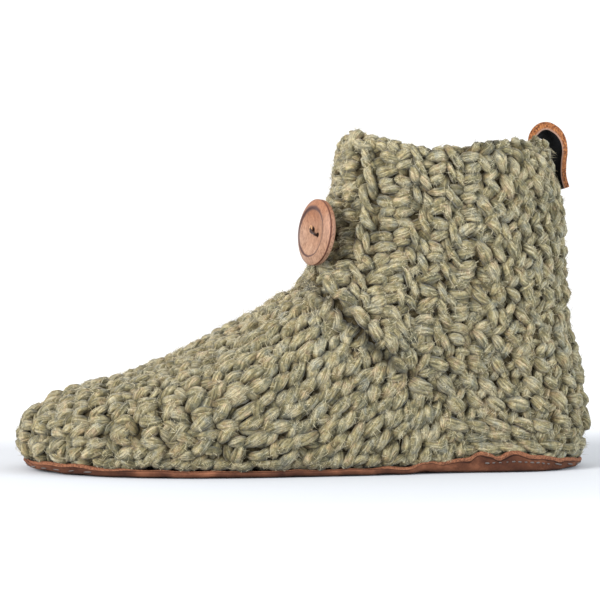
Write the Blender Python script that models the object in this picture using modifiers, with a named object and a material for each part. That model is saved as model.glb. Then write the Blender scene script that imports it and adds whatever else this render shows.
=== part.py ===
"""A left crochet slipper boot: a hooked wool upper with a lapped flap, on a soft leather tray sole.

The toe points to -X, the heel to +X, the outer side of the foot to -Y, and the floor is z = 0.
All sizes are in millimetres. They become metres where a mesh or a place is made.
"""
import math

import bmesh
import bpy
from mathutils import Matrix, Vector

MM = 0.001
CLEARANCE = 0.35          # between pieces that lie against each other

# ---- driving sizes -----------------------------------------------------------------------------
LEATHER = 2.2             # sole leather
WOOL_WALL = 7.0           # one layer of crochet
TURN_IN = 12.0            # wool turned in under the foot, from the seam
TURN_IN_THICK = 5.0
FELT = 4.6                # insole
FELT_BEVEL = 1.2
RIM_CROWN = 2.2           # rounding of the collar's edge
TOE_SPRING = 1.4          # rise of the sole under the toe
HEEL_SPRING = 0.8
ARCH_LIFT = 2.5           # rise of the sole at the inner waist

BUTTON_RADIUS = 15.0
BUTTON_THICK = 5.2
BUTTON_LEVEL = 10.97      # where it is sewn, as a section number of the upper
BUTTON_AROUND = 30.5      # and as degrees round from the front
BUTTON_YAW = 23.5         # its face looks this far from straight ahead to the outer side
BUTTON_PITCH = 5.0        # and this far upwards
BUTTON_STANDS_OFF = 4.9   # from the flap to the back of the button
DISH_RADIUS = 10.2
DISH_DEPTH = 2.8
RIM_FALL = 1.9            # the rim slopes back by this from the dish to the side
HOLE_RADIUS = 1.15
HOLE_OFFSET = 2.5         # of each hole from the centre
HOLE_TURN = -30.0         # slant of the line through the two holes
THREAD_RADIUS = 0.8
SHANK_RADIUS = 2.6
SHANK_SEAT = 1.3          # of its flat end over the curved flap's highest place

STRAP_WIDTH = 15.0
STRAP_THICK = 2.8

# ---- the upper's sections ----------------------------------------------------------------------
# One ring of wool for each row, from the seam on the sole to the collar.
# front and back: where the ring crosses the middle of the foot.
# toe .. back: half widths of the oval along the ring, the waist with an outer and an inner one.
UPPER_COLUMNS = ("name", "front_x", "front_z", "back_x", "back_z",
                 "toe", "ball", "waist_out", "waist_in", "seat", "back")
UPPER_SECTIONS = (
    ("seam",     -128.4,   2.55, 126.2,   2.55, 60.5, 50.0, 39.0, 34.0, 37.0, 58.0),
    ("lip",      -131.9,   6.5,  129.5,   6.5,  62.5, 53.0, 41.0, 36.0, 39.0, 61.0),
    ("tip",      -133.5,  12.5,  131.4,  13.5,  63.5, 55.5, 42.5, 38.0, 40.5, 62.0),
    ("widest",   -132.7,  20.0,  132.3,  24.0,  61.0, 56.0, 43.0, 39.0, 40.5, 62.0),
    ("crown",    -127.0,  27.2,  131.5,  34.0,  57.0, 55.0, 42.5, 39.0, 40.0, 60.0),
    ("toe_top",  -115.5,  34.6,  130.2,  41.5,  54.0, 53.5, 41.5, 38.5, 39.5, 58.0),
    ("toe_box",   -95.5,  40.2,  128.6,  48.0,  52.0, 51.0, 40.5, 38.0, 39.0, 56.0),
    ("vamp",      -69.0,  49.6,  127.0,  55.5,  49.0, 46.0, 39.0, 37.0, 38.5, 53.0),
    ("instep",    -42.0,  63.4,  125.3,  65.0,  46.0, 41.5, 37.5, 36.0, 38.0, 49.0),
    ("bend",      -19.0,  75.2,  123.6,  77.0,  43.0, 38.5, 36.5, 35.5, 37.0, 45.0),
    ("throat",     -2.5,  90.0,  122.0,  90.5,  38.5, 36.5, 36.0, 35.5, 36.5, 41.5),
    ("ankle",       4.2, 107.0,  121.2, 107.0,  35.5, 36.0, 36.0, 36.0, 36.5, 39.5),
    ("shaft",      11.8, 129.0,  119.9, 126.5,  35.0, 36.5, 36.5, 36.5, 37.0, 38.5),
    ("collar",     16.0, 150.5,  115.6, 144.0,  35.0, 37.0, 37.5, 37.5, 37.5, 38.0),
)
WIDTH_STATIONS = (0.0, 0.27, 0.55, 0.75, 1.0)      # of toe .. back, along the ring
RINGS_PER_SECTION = 2
RING_COLUMNS = {"before_edge": 9, "behind_edge": 16}

# Rise and dip of the collar's edge: along the ring from front to back, and the height it adds.
COLLAR_WAVE = ((0.0, 1.2), (0.06, 2.2), (0.12, 0.3), (0.27, -2.2), (0.36, -4.3), (0.50, -2.2),
               (0.77, 4.2), (0.93, 1.2), (1.0, 0.0))
# Middle line of the last, seen from above.
LAST_CURVE = ((-133.0, 9.0), (-95.0, 4.2), (-50.0, 0.0), (5.0, -1.5), (70.0, 0.0), (133.0, 0.0))
# Free edge of the flap: section number, degrees round from the front, height of the step.
FLAP_EDGE = ((5.4, 101.0, 0.0), (6.2, 97.0, 2.0), (7.0, 88.0, 3.4), (8.0, 68.0, 4.4), (9.0, 43.0, 4.8),
             (10.0, 19.0, 5.0), (11.0, 17.0, 5.2), (12.0, 19.0, 5.4), (13.0, 22.0, 5.4))
FLAP_RISER = 1.3          # width of the step's slope
FLAP_FADE = 66.0          # distance over which the lap thins out behind the edge
# Height of the sole's turned-up lip along the foot.
LIP_HEIGHT = ((-131.0, 4.0), (-112.0, 5.4), (-92.0, 5.0), (-66.0, 3.8), (0.0, 3.6), (40.0, 4.0),
              (62.0, 5.2), (92.0, 8.2), (112.0, 6.0), (131.0, 4.6))


def smooth(places, values, at):
    """Value at a place on a smooth curve through the table, with no overshoot."""
    last = len(places) - 1
    if at <= places[0]:
        return values[0]
    if at >= places[last]:
        return values[last]
    steps = [places[i + 1] - places[i] for i in range(last)]
    rises = [(values[i + 1] - values[i]) / steps[i] for i in range(last)]

    def slope(i):
        if i == 0 or i == last:
            return rises[0] if i == 0 else rises[-1]
        before, after = rises[i - 1], rises[i]
        return 0.0 if before * after <= 0.0 else 2.0 * before * after / (before + after)

    i = max(k for k in range(last) if places[k] <= at)
    t = (at - places[i]) / steps[i]
    return (values[i] * (1 + 2 * t) * (1 - t) ** 2 + values[i + 1] * t * t * (3 - 2 * t)
            + slope(i) * steps[i] * t * (1 - t) ** 2 - slope(i + 1) * steps[i] * t * t * (1 - t))


def from_table(table, column, at):
    """Smooth value of one column of a table whose first column is the place."""
    return smooth([row[0] for row in table], [row[column] for row in table], at)


def section(level):
    """The upper's section at a level, 0 at the seam, with every column interpolated."""
    numbers = range(len(UPPER_SECTIONS))
    return {name: smooth(numbers, [row[i] for row in UPPER_SECTIONS], level)
            for i, name in enumerate(UPPER_COLUMNS) if i > 0}


COLLAR_LEVEL = len(UPPER_SECTIONS) - 1


def sole_lift(x, y):
    """Height of the sole's underside above the floor: toe spring, heel and inner arch."""
    toe = TOE_SPRING * (max(0.0, -96.0 - x) / 36.0) ** 2
    heel = HEEL_SPRING * (max(0.0, x - 117.0) / 14.0) ** 2
    along = max(0.0, 1.0 - ((x - 8.0) / 42.0) ** 2)
    across = min(1.0, max(0.0, (y + 24.0) / 56.0))
    return toe + heel + ARCH_LIFT * along * along * across * across


def last_point(level, side, around):
    """Point on the plain upper, without the flap: side -1 outer or 1 inner, around in radians."""
    row = section(level)
    along = (1.0 - math.cos(around)) / 2.0
    waist = row["waist_out"] if side < 0 else row["waist_in"]
    widths = (row["toe"], row["ball"], waist, row["seat"], row["back"])
    x = row["front_x"] + (row["back_x"] - row["front_x"]) * along
    y = from_table(LAST_CURVE, 1, x) + side * smooth(WIDTH_STATIONS, widths, along) * math.sin(around)
    z = row["front_z"] + (row["back_z"] - row["front_z"]) * along
    z += sole_lift(x, y) * max(0.0, 1.0 - level / 4.0)
    z += from_table(COLLAR_WAVE, 1, along) * max(0.0, (level - 10.0) / (COLLAR_LEVEL - 10.0)) ** 2
    return Vector((x, y, z))


def last_normal(level, side, around):
    """Outward direction of the plain upper."""
    low, high = max(0.0, level - 0.05), min(COLLAR_LEVEL, level + 0.05)
    up = last_point(high, side, around) - last_point(low, side, around)
    back = last_point(level, side, around + 0.01) - last_point(level, side, around - 0.01)
    return (back.cross(up) * -side).normalized()


def flat_normal(level, side, around):
    """The same direction, kept level with the floor."""
    normal = last_normal(level, side, around)
    normal.z = 0.0
    return normal.normalized()


def edge_around(level):
    """Where the flap's free edge crosses a ring, in radians from the front."""
    return math.radians(from_table(FLAP_EDGE, 1, level))


def lap(level, side, around):
    """How far the flap lies over the layer under it."""
    edge = edge_around(level)
    if side > 0 or around <= edge or level <= FLAP_EDGE[0][0]:
        return 0.0
    behind = (last_point(level, side, around) - last_point(level, side, edge)).length
    ramp = min(1.0, behind / FLAP_RISER)
    fade = max(0.0, 1.0 - behind / FLAP_FADE)
    return from_table(FLAP_EDGE, 2, level) * ramp * fade * fade * (3.0 - 2.0 * fade)


def skin(level, side, around, depth):
    """Point on the upper's outer skin, moved in by depth along its normal."""
    normal = last_normal(level, side, around)
    raised = lap(level, side, around) if depth <= 0.0 else 0.0
    return last_point(level, side, around) + normal * (raised - depth)


def arounds(level):
    """Angles of a ring's columns from front to back, two of them close together at the flap's edge."""
    edge = edge_around(level)
    radius = (last_point(level, -1, edge + 0.01) - last_point(level, -1, edge - 0.01)).length / 0.02
    before = RING_COLUMNS["before_edge"]
    behind = RING_COLUMNS["behind_edge"]
    step_top = edge + FLAP_RISER / radius     # where the step is at its full height
    front = [edge * i / before for i in range(before + 1)]
    back = [step_top + (math.pi - step_top) * i / behind for i in range(behind + 1)]
    return front + back


def ring(level, place):
    """One closed ring of points: down the outer side from the front, and back along the inner side."""
    angles = arounds(level)
    outer = [place(level, -1, angle) for angle in angles]
    inner = [place(level, 1, angle) for angle in angles[1:-1]]
    return outer + inner[::-1]


def level_at_height(height, side, around):
    """Level at which the upper reaches a height above the sole's own lift."""
    low, high = 0.0, 3.0
    for _ in range(24):
        middle = (low + high) / 2.0
        point = last_point(middle, side, around)
        if point.z - sole_lift(point.x, point.y) < height:
            low = middle
        else:
            high = middle
    return (low + high) / 2.0


# ---- mesh making -------------------------------------------------------------------------------
def clear_scene():
    for item in list(bpy.data.objects):
        bpy.data.objects.remove(item, do_unlink=True)
    for item in list(bpy.data.collections):
        bpy.data.collections.remove(item)


def new_collection(name):
    made = bpy.data.collections.new(name)
    bpy.context.scene.collection.children.link(made)
    return made


def new_material(name, colour, roughness):
    made = bpy.data.materials.new(name)
    made.use_nodes = True
    shader = made.node_tree.nodes["Principled BSDF"]
    shader.inputs["Base Color"].default_value = (*colour, 1.0)
    shader.inputs["Roughness"].default_value = roughness
    shader.inputs["Metallic"].default_value = 0.0
    made.diffuse_color = (*colour, 1.0)
    return made


def new_object(name, mesh, material, collection):
    mesh.materials.append(material)
    made = bpy.data.objects.new(name, mesh)
    collection.objects.link(made)
    return made


def loft(name, rings, closed=False, caps=False):
    """Mesh through rings with equal numbers of points; caps are ladders across a middle line."""
    mesh_maker = bmesh.new()
    made = [[mesh_maker.verts.new(point * MM) for point in points] for points in rings]
    count = len(made[0])
    pairs = list(zip(made, made[1:]))
    if closed:
        pairs.append((made[-1], made[0]))
    for low, high in pairs:
        for i in range(count):
            j = (i + 1) % count
            mesh_maker.faces.new((low[i], low[j], high[j], high[i]))
    if caps:
        for end in (made[0], made[-1]):
            close_ladder(mesh_maker, end)
    bmesh.ops.recalc_face_normals(mesh_maker, faces=mesh_maker.faces)
    mesh = bpy.data.meshes.new(name)
    mesh_maker.to_mesh(mesh)
    mesh_maker.free()
    mesh.shade_smooth()
    mesh.set_sharp_from_angle(angle=math.radians(50.0))
    return mesh


def close_ladder(mesh_maker, points):
    """Close a foot-shaped ring with faces from each side to a middle line of points."""
    count = len(points)
    half = count // 2
    middle = [points[0]]
    for i in range(1, half):
        centre = (points[i].co + points[count - i].co) / 2.0
        height = sole_lift(centre.x / MM, centre.y / MM) * MM
        sides = [points[i], points[count - i]]
        above = min(v.co.z - sole_lift(v.co.x / MM, v.co.y / MM) * MM for v in sides)
        middle.append(mesh_maker.verts.new((centre.x, centre.y, height + above)))
    middle.append(points[half])
    for i in range(half):
        for side in (1, -1):
            corners = [points[(side * i) % count], points[(side * (i + 1)) % count],
                       middle[i + 1], middle[i]]
            corners = [v for k, v in enumerate(corners) if v not in corners[:k]]
            mesh_maker.faces.new(corners)


# ---- the pieces --------------------------------------------------------------------------------
def turned_in(inset, height):
    """Place for a ring that lies under the foot, inset from the seam at a height over the sole's lift."""
    def place(level, side, around):
        point = last_point(0.0, side, around) - flat_normal(0.3, side, around) * inset
        point.z = height + sole_lift(point.x, point.y)
        return point
    return place


def make_upper(collection):
    """Hooked wool shell: outer skin, turn-in under the foot, inner skin and rounded collar edge."""
    steps = COLLAR_LEVEL * RINGS_PER_SECTION
    outer_levels = [COLLAR_LEVEL - i / RINGS_PER_SECTION for i in range(steps + 1)]
    inner_levels = [1.5 + (COLLAR_LEVEL - 1.5) * i / 15 for i in range(16)]
    seat = LEATHER + CLEARANCE
    rings = [ring(level, lambda lv, s, a: skin(lv, s, a, 0.0)) for level in outer_levels]
    rings.append(ring(0.0, turned_in(TURN_IN, seat)))
    rings.append(ring(0.0, turned_in(TURN_IN, seat + TURN_IN_THICK)))
    rings += [ring(level, lambda lv, s, a: skin(lv, s, a, WOOL_WALL)) for level in inner_levels]
    crown = [(a + b) / 2.0 + Vector((0.0, 0.0, RIM_CROWN)) for a, b in zip(rings[0], rings[-1])]
    rings.append(crown)
    wool = new_material("hooked wool", (0.36, 0.33, 0.19), 0.95)
    return new_object("upper", loft("upper", rings, closed=True), wool, collection)


def make_sole(collection):
    """Soft leather tray whose lip is turned up against the wool."""
    def lip(share, depth):
        def place(level, side, around):
            edge = last_point(0.5, side, around)
            height = from_table(LIP_HEIGHT, 1, edge.x)
            seat = LEATHER + CLEARANCE
            reached = level_at_height(seat + (height - seat) * share, side, around)
            return skin(reached, side, around, -depth)
        return place

    places = (
        turned_in(TURN_IN, LEATHER),
        turned_in(-CLEARANCE, LEATHER),
        lip(0.5, CLEARANCE),
        lip(1.0, CLEARANCE),
        lip(1.0, CLEARANCE + LEATHER),
        lip(0.5, CLEARANCE + LEATHER),
        turned_in(-CLEARANCE - 0.75 * LEATHER, 0.35 * LEATHER),
        turned_in(-CLEARANCE, 0.0),
        turned_in(TURN_IN, 0.0),
    )
    rings = [ring(0.0, place) for place in places]
    leather = new_material("sole leather", (0.22, 0.065, 0.03), 0.6)
    return new_object("sole", loft("sole", rings, caps=True), leather, collection)


def make_insole(collection):
    """Felt sheet inside the turn-in, on the leather."""
    base = LEATHER + CLEARANCE
    places = (
        turned_in(TURN_IN + CLEARANCE + FELT_BEVEL, base + FELT),
        turned_in(TURN_IN + CLEARANCE, base + FELT - FELT_BEVEL),
        turned_in(TURN_IN + CLEARANCE, base),
    )
    rings = [ring(0.0, place) for place in places]
    felt = new_material("wool felt", (0.45, 0.42, 0.36), 0.95)
    return new_object("insole", loft("insole", rings, caps=True), felt, collection)


def button_frame():
    """Matrix that stands the button on the flap: its +Z is the face, its origin the back's middle."""
    seat = skin(BUTTON_LEVEL, -1, math.radians(BUTTON_AROUND), 0.0)
    yaw, pitch = math.radians(BUTTON_YAW), math.radians(BUTTON_PITCH)
    face = Vector((-math.cos(yaw) * math.cos(pitch), -math.sin(yaw) * math.cos(pitch), math.sin(pitch)))
    up = (Vector((0, 0, 1)) - face * face.z).normalized()
    across = up.cross(face)
    turn = Matrix((across, up, face)).transposed().to_4x4()
    return Matrix.Translation((seat + face * BUTTON_STANDS_OFF) * MM) @ turn


def cylinder(name, radius, low, high, place, turn, collection, sides=16):
    """A cylinder primitive whose length runs from low to high along the turned Z axis."""
    bpy.ops.mesh.primitive_cylinder_add(vertices=sides, radius=radius * MM, depth=(high - low) * MM)
    made = bpy.context.object
    made.name = name
    for owner in list(made.users_collection):
        owner.objects.unlink(made)
    collection.objects.link(made)
    middle = Matrix.Translation(Vector((0, 0, (high + low) / 2.0)) * MM)
    made.matrix_world = place @ turn @ middle
    return made


def boolean(target, cutter, operation):
    cutter.hide_render = True
    cutter.display_type = "WIRE"
    made = target.modifiers.new(cutter.name, "BOOLEAN")
    made.operation = operation
    made.object = cutter
    made.solver = "EXACT"


def hole_centres():
    slant = math.radians(HOLE_TURN)
    offset = Vector((math.cos(slant), math.sin(slant), 0.0)) * HOLE_OFFSET
    return (offset, -offset)


def make_button(collection, cutters):
    """Turned wooden disc: a dish inside a sloping rim, and a burnt groove at the edge of its side."""
    top, radius = BUTTON_THICK, BUTTON_RADIUS
    edge = top - RIM_FALL
    profile = (
        (0.0, top - DISH_DEPTH), (DISH_RADIUS * 0.41, top - DISH_DEPTH),
        (DISH_RADIUS * 0.7, top - DISH_DEPTH * 0.75), (DISH_RADIUS * 0.92, top - DISH_DEPTH * 0.34),
        (DISH_RADIUS, top - 0.5), (DISH_RADIUS + 0.7, top), (DISH_RADIUS + 1.1, top - 0.05),
        (radius - 1.8, edge + RIM_FALL * 0.47), (radius - 0.4, edge + 0.1), (radius, edge - 0.2),
        (radius - 0.35, edge - 0.45), (radius, edge - 0.7), (radius, 0.9), (radius - 0.6, 0.3),
        (radius - 1.8, 0.0), (0.0, 0.0),
    )
    mesh = bpy.data.meshes.new("button")
    edges = [(i, i + 1) for i in range(len(profile) - 1)]
    mesh.from_pydata([(r * MM, 0.0, z * MM) for r, z in profile], edges, [])
    wood = new_material("turned wood", (0.62, 0.36, 0.22), 0.5)
    button = new_object("button", mesh, wood, collection)
    button.matrix_world = button_frame()
    turned = button.modifiers.new("turned", "SCREW")
    turned.steps = 28
    turned.render_steps = 28
    turned.use_merge_vertices = True
    turned.merge_threshold = 0.00001
    for number, centre in enumerate(hole_centres()):
        at = Matrix.Translation(centre * MM)
        drill = cylinder(f"hole_{number}", HOLE_RADIUS, -1.0, top + 1.0, button_frame(), at, cutters)
        boolean(button, drill, "DIFFERENCE")
    return button


def make_button_thread(collection, cutters):
    """Sewing thread: a strand in each hole, the bar over the dish and the wound shank behind."""
    frame = button_frame()
    over_dish = BUTTON_THICK - DISH_DEPTH + CLEARANCE + THREAD_RADIUS
    shank_low = SHANK_SEAT - BUTTON_STANDS_OFF
    thread = new_material("waxed thread", (0.05, 0.03, 0.02), 0.7)
    shank = cylinder("button_thread", SHANK_RADIUS, shank_low, -CLEARANCE, frame, Matrix(), collection)
    shank.data.materials.append(thread)
    for number, centre in enumerate(hole_centres()):
        at = Matrix.Translation(centre * MM)
        strand = cylinder(f"strand_{number}", THREAD_RADIUS, -1.2, over_dish, frame, at, cutters, 10)
        boolean(shank, strand, "UNION")
    turn = Matrix.Rotation(math.radians(HOLE_TURN), 4, "Z") @ Matrix.Rotation(math.radians(90.0), 4, "Y")
    lift = Matrix.Translation(Vector((0, 0, over_dish)) * MM)
    reach = HOLE_OFFSET + THREAD_RADIUS * 0.6
    bar = cylinder("bar", THREAD_RADIUS * 0.98, -reach, reach, frame, lift @ turn, cutters, 10)
    boolean(shank, bar, "UNION")
    return shank


# Middle of the pull strap's thickness, from its inner end over the collar to its outer end.
STRAP_ROUTE = ((109.1, 129.0), (106.7, 138.0), (105.0, 146.5), (105.1, 152.5), (107.4, 157.4),
               (111.7, 159.6), (116.1, 158.4), (119.2, 154.5), (120.4, 149.0), (120.6, 142.0),
               (121.1, 136.5), (122.4, 131.5))
STRAP_STEPS = 3


def strap_middle():
    """Points and directions along the middle of the strap."""
    numbers = range(len(STRAP_ROUTE))
    last = len(STRAP_ROUTE) - 1
    at = [i / STRAP_STEPS for i in range(last * STRAP_STEPS + 1)]
    xs = [row[0] for row in STRAP_ROUTE]
    zs = [row[1] for row in STRAP_ROUTE]
    points = [Vector((smooth(numbers, xs, t), smooth(numbers, zs, t))) for t in at]
    ahead = points[1:] + [points[-1] * 2.0 - points[-2]]
    behind = [points[0] * 2.0 - points[1]] + points[:-1]
    return [(point, (b - a).normalized()) for point, a, b in zip(points, behind, ahead)]


def make_pull_loop(collection):
    """Leather strap bent over the back of the collar, as an outline extruded to its width."""
    left, right = [], []
    for point, along in strap_middle():
        side = Vector((-along.y, along.x)) * (STRAP_THICK / 2.0)
        left.append(point + side)
        right.append(point - side)
    outline = left + right[::-1]
    curve = bpy.data.curves.new("pull_loop", "CURVE")
    curve.dimensions = "2D"
    curve.fill_mode = "BOTH"
    curve.extrude = STRAP_WIDTH / 2.0 * MM
    path = curve.splines.new("POLY")
    path.points.add(len(outline) - 1)
    for slot, point in zip(path.points, outline):
        slot.co = (point.x * MM, point.y * MM, 0.0, 1.0)
    path.use_cyclic_u = True
    leather = new_material("strap leather", (0.42, 0.15, 0.05), 0.6)
    curve.materials.append(leather)
    loop = bpy.data.objects.new("pull_loop", curve)
    collection.objects.link(loop)
    loop.matrix_world = Matrix.Rotation(math.radians(90.0), 4, "X")
    return loop


clear_scene()
slipper = new_collection("crochet_slipper")
cutter_shapes = new_collection("cutters")
make_sole(slipper)
make_insole(slipper)
make_upper(slipper)
make_button(slipper, cutter_shapes)
make_button_thread(slipper, cutter_shapes)
make_pull_loop(slipper)
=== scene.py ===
"""The crochet slipper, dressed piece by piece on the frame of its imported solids.

The toe points to -X, the heel to +X, the outer side of the foot to -Y, and the floor is z = 0.
Sizes are in millimetres, and become metres where a mesh is made.
"""
from collections import defaultdict
from contextlib import contextmanager
from itertools import product
from math import atan2, cos, pi, radians, sin

import bpy
import numpy as np
from mathutils import Matrix, Vector
from mathutils.bvhtree import BVHTree


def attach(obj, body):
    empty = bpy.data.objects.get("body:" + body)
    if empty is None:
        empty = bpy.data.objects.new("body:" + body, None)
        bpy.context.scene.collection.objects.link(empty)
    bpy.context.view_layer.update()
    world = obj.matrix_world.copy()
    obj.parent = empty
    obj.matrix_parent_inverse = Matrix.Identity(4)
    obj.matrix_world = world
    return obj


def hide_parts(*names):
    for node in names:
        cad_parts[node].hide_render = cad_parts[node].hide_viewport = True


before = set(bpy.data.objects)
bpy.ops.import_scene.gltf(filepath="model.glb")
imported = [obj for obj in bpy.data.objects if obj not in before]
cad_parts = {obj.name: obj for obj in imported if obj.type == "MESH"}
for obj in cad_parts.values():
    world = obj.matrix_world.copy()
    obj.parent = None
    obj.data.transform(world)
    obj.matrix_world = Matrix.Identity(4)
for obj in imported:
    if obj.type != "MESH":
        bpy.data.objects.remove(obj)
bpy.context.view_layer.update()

MM = 0.001

# ---- the view ----
# The shoe is seen from its outer side, from a little in front of the middle, with a long lens
# held level at half its height.
VIEW_AIM = Vector((-2.75, 0, 83))
VIEW_DISTANCE = 800
VIEW_TURN = radians(-5)
view_back = Vector((sin(VIEW_TURN), -cos(VIEW_TURN), 0))
bpy.ops.object.camera_add(location=(VIEW_AIM + view_back * VIEW_DISTANCE) * MM,
                          rotation=(pi / 2, 0, VIEW_TURN))
camera = bpy.context.object
camera.name = "side_camera"
camera.data.sensor_width = 36
camera.data.lens = 103.2
camera.data.shift_y = -0.0185
camera.data.clip_start = 0.05
camera.data.clip_end = 30
bpy.context.scene.camera = camera

# ---- floor and light ----
# A white paper sweep that runs out of sight, lit by a bright tent all round and one wide soft box
# from above the toe, so that the shoe throws only a faint shadow under itself.


def linear(code):
    """An sRGB hex colour as the linear colour that a shader takes."""
    parts = [int(code[i:i + 2], 16) / 255 for i in (1, 3, 5)]
    return (*(c / 12.92 if c <= 0.04045 else ((c + 0.055) / 1.055) ** 2.4 for c in parts), 1)


def assign(thing, **settings):
    """Sets several properties of a thing."""
    for name, value in settings.items():
        setattr(thing, name, value)


def feed(node, inputs):
    """Gives a node its inputs: the output of another node is linked, and a value is set."""
    for socket, value in inputs.items():
        if isinstance(value, bpy.types.NodeSocket):
            node.id_data.links.new(value, node.inputs[socket])
        else:
            node.inputs[socket].default_value = value


def add(tree, kind, inputs=None, stops=(), **settings):
    """A shader node with its settings and inputs, and with the stops of a colour ramp: each is
    a position, and a hex colour or three factors."""
    made = tree.nodes.new("ShaderNode" + kind)
    assign(made, **settings)
    feed(made, inputs or {})
    stops = [(position, linear(colour) if isinstance(colour, str) else colour + (1,))
             for position, colour in stops]
    if stops:
        first, *middle, last = stops
        for element, (position, colour) in zip(made.color_ramp.elements, (first, last)):
            element.position, element.color = position, colour
        for position, colour in middle:
            made.color_ramp.elements.new(position).color = colour
    return made


def shader_of(tree):
    """The Principled shader of a material."""
    return tree.nodes["Principled BSDF"]


def new_material(name, roughness, specular=0.5, colour=None):
    """A material with the constants of its shader, and its node tree."""
    made = bpy.data.materials.new(name)
    made.use_nodes = True
    shader = shader_of(made.node_tree)
    feed(shader, {"Roughness": roughness, "Specular IOR Level": specular})
    if colour is not None:
        feed(shader, {"Base Color": linear(colour)})
    return made, made.node_tree


def paint(colour, height=None, strength=1, distance=0.001):
    """Feeds a material's shader its colour, and its bumps from a height."""
    shader = shader_of(colour.id_data)
    feed(shader, {"Base Color": colour})
    if height is not None:
        bump = add(height.id_data, "Bump", {"Height": height, "Strength": strength,
                                            "Distance": distance})
        feed(shader, {"Normal": bump.outputs["Normal"]})


bpy.context.scene.view_settings.view_transform = "Standard"
bpy.context.scene.view_settings.look = "None"

sky = bpy.data.worlds.new("light_tent")
bpy.context.scene.world = sky
sky.use_nodes = True
feed(sky.node_tree.nodes["Background"], {"Color": (1, 1, 1, 1), "Strength": 1.1})

bpy.ops.mesh.primitive_plane_add(size=14, location=(0, 0, 0))
floor = bpy.context.object
floor.name = "paper_floor"
paper, tree = new_material("matt white paper", 0.9, 0.1)
# painted shade: darker, bluer paper round the middle, so the shadow at the foot of the sole shows
oval = add(tree, "VectorMath", {0: add(tree, "TexCoord").outputs["Object"], 1: (0.55, 1, 0)},
           operation="MULTIPLY").outputs["Vector"]
away = add(tree, "VectorMath", {0: oval}, operation="LENGTH").outputs["Value"]
shade_fade = add(tree, "MapRange", {"Value": away, "From Min": 0.13,
                                    "From Max": 0.5}).outputs["Result"]
shade = add(tree, "ValToRGB", {"Fac": shade_fade},
            stops=((0, "#bbbdc1"), (1, "#f7f8fa"))).outputs["Color"]
paint(shade)
floor.data.materials.append(paper)


def add_soft_box(name, place, energy, colour):
    """A square soft box of 0.9 m, turned to the shoe."""
    bpy.ops.object.light_add(type="AREA", location=place * MM)
    light = bpy.context.object
    light.name = name
    assign(light.data, shape="SQUARE", size=0.9, energy=energy, color=colour)
    light.rotation_euler = (place - VIEW_AIM).to_track_quat("Z", "Y").to_euler()


add_soft_box("soft_box", Vector((-1650, -1250, 800)), 92, (1, 1, 1))
# a weaker, cooler light from behind the heel
add_soft_box("fill_light", Vector((1300, -750, 330)), 34, (0.85, 0.935, 1))

# ---- ground of the wool upper ----
# The body of the crochet: the backs of the stitches, felted together into one thick wall. It shows
# only in the gaps between the loops of yarn, and carries them.
GROUND_SINK = 2.3  # from the mean skin of the upper down to the ground


def activate(piece):
    """Selects one piece alone and makes it active."""
    bpy.ops.object.select_all(action="DESELECT")
    piece.select_set(True)
    bpy.context.view_layer.objects.active = piece


def new_object(name, data):
    """A new object in the scene, selected alone and active."""
    made = bpy.data.objects.new(name, data)
    bpy.context.scene.collection.objects.link(made)
    activate(made)
    return made


def apply_modifier(piece, kind, **settings):
    """Gives the active piece a modifier and applies it."""
    made = piece.modifiers.new(kind.lower(), kind)
    assign(made, **settings)
    bpy.ops.object.modifier_apply(modifier=made.name)


@contextmanager
def editing(action="SELECT"):
    """Edit mode on the active piece, with its whole mesh selected, or none of it."""
    bpy.ops.object.mode_set(mode="EDIT")
    bpy.ops.mesh.select_all(action=action)
    yield
    bpy.ops.object.mode_set(mode="OBJECT")


def merged_copy(node, name):
    """A copy of a solid's mesh with its doubles merged."""
    made = new_object(name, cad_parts[node].data.copy())
    with editing():
        bpy.ops.mesh.remove_doubles(threshold=0.00001)
        bpy.ops.mesh.tris_convert_to_quads()
    return made


def surface_tree(piece):
    """A search tree over a piece's faces, in millimetres."""
    return BVHTree.FromPolygons([v.co / MM for v in piece.data.vertices],
                                [tuple(p.vertices) for p in piece.data.polygons])


def finish_piece(piece, material, node):
    """Gives a finished piece its material, hangs it from the root, and hides the solid it stands
    for.
    """
    if material is not None:
        piece.data.materials.clear()
        piece.data.materials.append(material)
    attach(piece, "root")
    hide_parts(node)


ground = merged_copy("upper", "upper_ground")
apply_modifier(ground, "SUBSURF", levels=2, render_levels=2)
with editing():
    bpy.ops.transform.shrink_fatten(value=-GROUND_SINK * MM)
bpy.ops.object.shade_smooth()

# wool matted into a tufted felt, painted dark as painted shade in the gaps between the loops
felted, tree = new_material("felted wool", 0.95, 0.15)
tufts = add(tree, "TexNoise", {"Vector": add(tree, "TexCoord").outputs["Object"], "Scale": 900,
                               "Detail": 3}).outputs["Fac"]
shaded_browns = add(tree, "ValToRGB", {"Fac": tufts},
             stops=((0.35, "#272113"), (0.7, "#443c28"))).outputs["Color"]
paint(shaded_browns, tufts, 0.8)
finish_piece(ground, felted, "upper")

# ---- stitches of the foot ----
# Thick two-ply wool, hooked in rounds from a ring at the toe up to the ankle. Each round shows as
# leaning pairs of plump loops, and the rounds fan out towards the heel.
GROUND_TREE = surface_tree(ground)
YARN_SIDES, YARN_STEPS = 8, 6
YARN_TWIST = 0.24  # turns of the ply along one millimetre, in radians
YARN_FLAT = 0.86  # height of a loop's section over its width
PLY_DEPTH = 0.13  # of the groove between the plies, over the yarn's radius
CALM_SINK = 1.6  # how far a loop is pressed in where it is held down fully
GROOVE_SUM = 86  # x + z along the foot of the flap
LIP_HEIGHT = 5  # no loop hangs lower than this over the sole
STAR_POINT = Vector((44.3, -44.5, 42.6))
STAR_CLEAR = 9.5  # round the star, where no other stitch stands
CELL = 7  # of the grid that files what is taken, wider than any gap asked for
OUTWARD, UP, HEELWARD = Vector((0, -1, 0)), Vector((0, 0, 1)), Vector((1, 0, 0))
chance = np.random.default_rng(11)
ring_angles = np.linspace(0, 2 * pi, YARN_SIDES, endpoint=False)
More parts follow.
